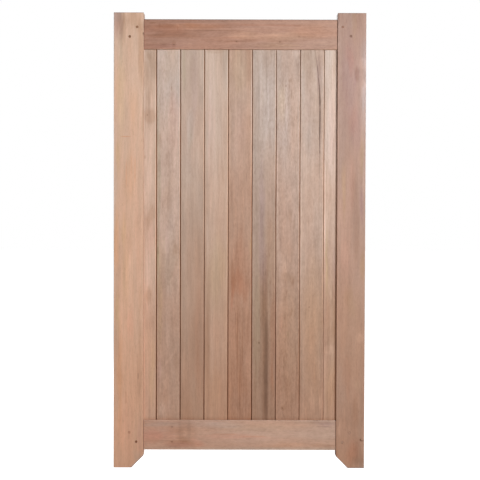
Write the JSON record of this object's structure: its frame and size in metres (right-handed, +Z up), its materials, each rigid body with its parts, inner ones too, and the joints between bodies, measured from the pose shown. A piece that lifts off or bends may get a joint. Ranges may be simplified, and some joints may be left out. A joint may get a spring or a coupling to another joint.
{
  "type": "boarded wooden garden gate leaf",
  "caption": "Upright framed garden gate leaf: vertical tongued and V-jointed boards in a pegged mortise and tenon frame with horns and feet.",
  "frame": {"origin": "middle of the left stile's outer edge face, at the leaf's mid-thickness and mid-height, where the leaf hangs", "axes": "+X across the leaf from the hanging stile to the latch stile, +Y from the front face to the back face, +Z up along the stiles"},
  "size_m": [0.995, 0.045, 1.8],
  "materials": {
    "left_stile": "planed bare hardwood, pale orange tan, matt",
    "right_stile": "planed bare hardwood, pinkish tan to brown, matt",
    "rails": "planed bare hardwood, reddish tan, matt",
    "boards": "planed bare hardwood, mixed pale pinkish tans, matt",
    "pegs": "hardwood end grain, dark, matt"
  },
  "bodies": {
    "root": {"left_stile": "left_stile", "right_stile": "right_stile", "top_rail": "rails", "bottom_rail": "rails", "board_1": "boards", "board_2": "boards", "board_3": "boards", "board_4": "boards", "board_5": "boards", "board_6": "boards", "board_7": "boards", "board_8": "boards", "board_9": "boards", "peg_top_left_1": "pegs", "peg_top_left_2": "pegs", "peg_top_right_1": "pegs", "peg_top_right_2": "pegs", "peg_bottom_left_1": "pegs", "peg_bottom_left_2": "pegs", "peg_bottom_right_1": "pegs", "peg_bottom_right_2": "pegs"}
  },
  "joints": []
}
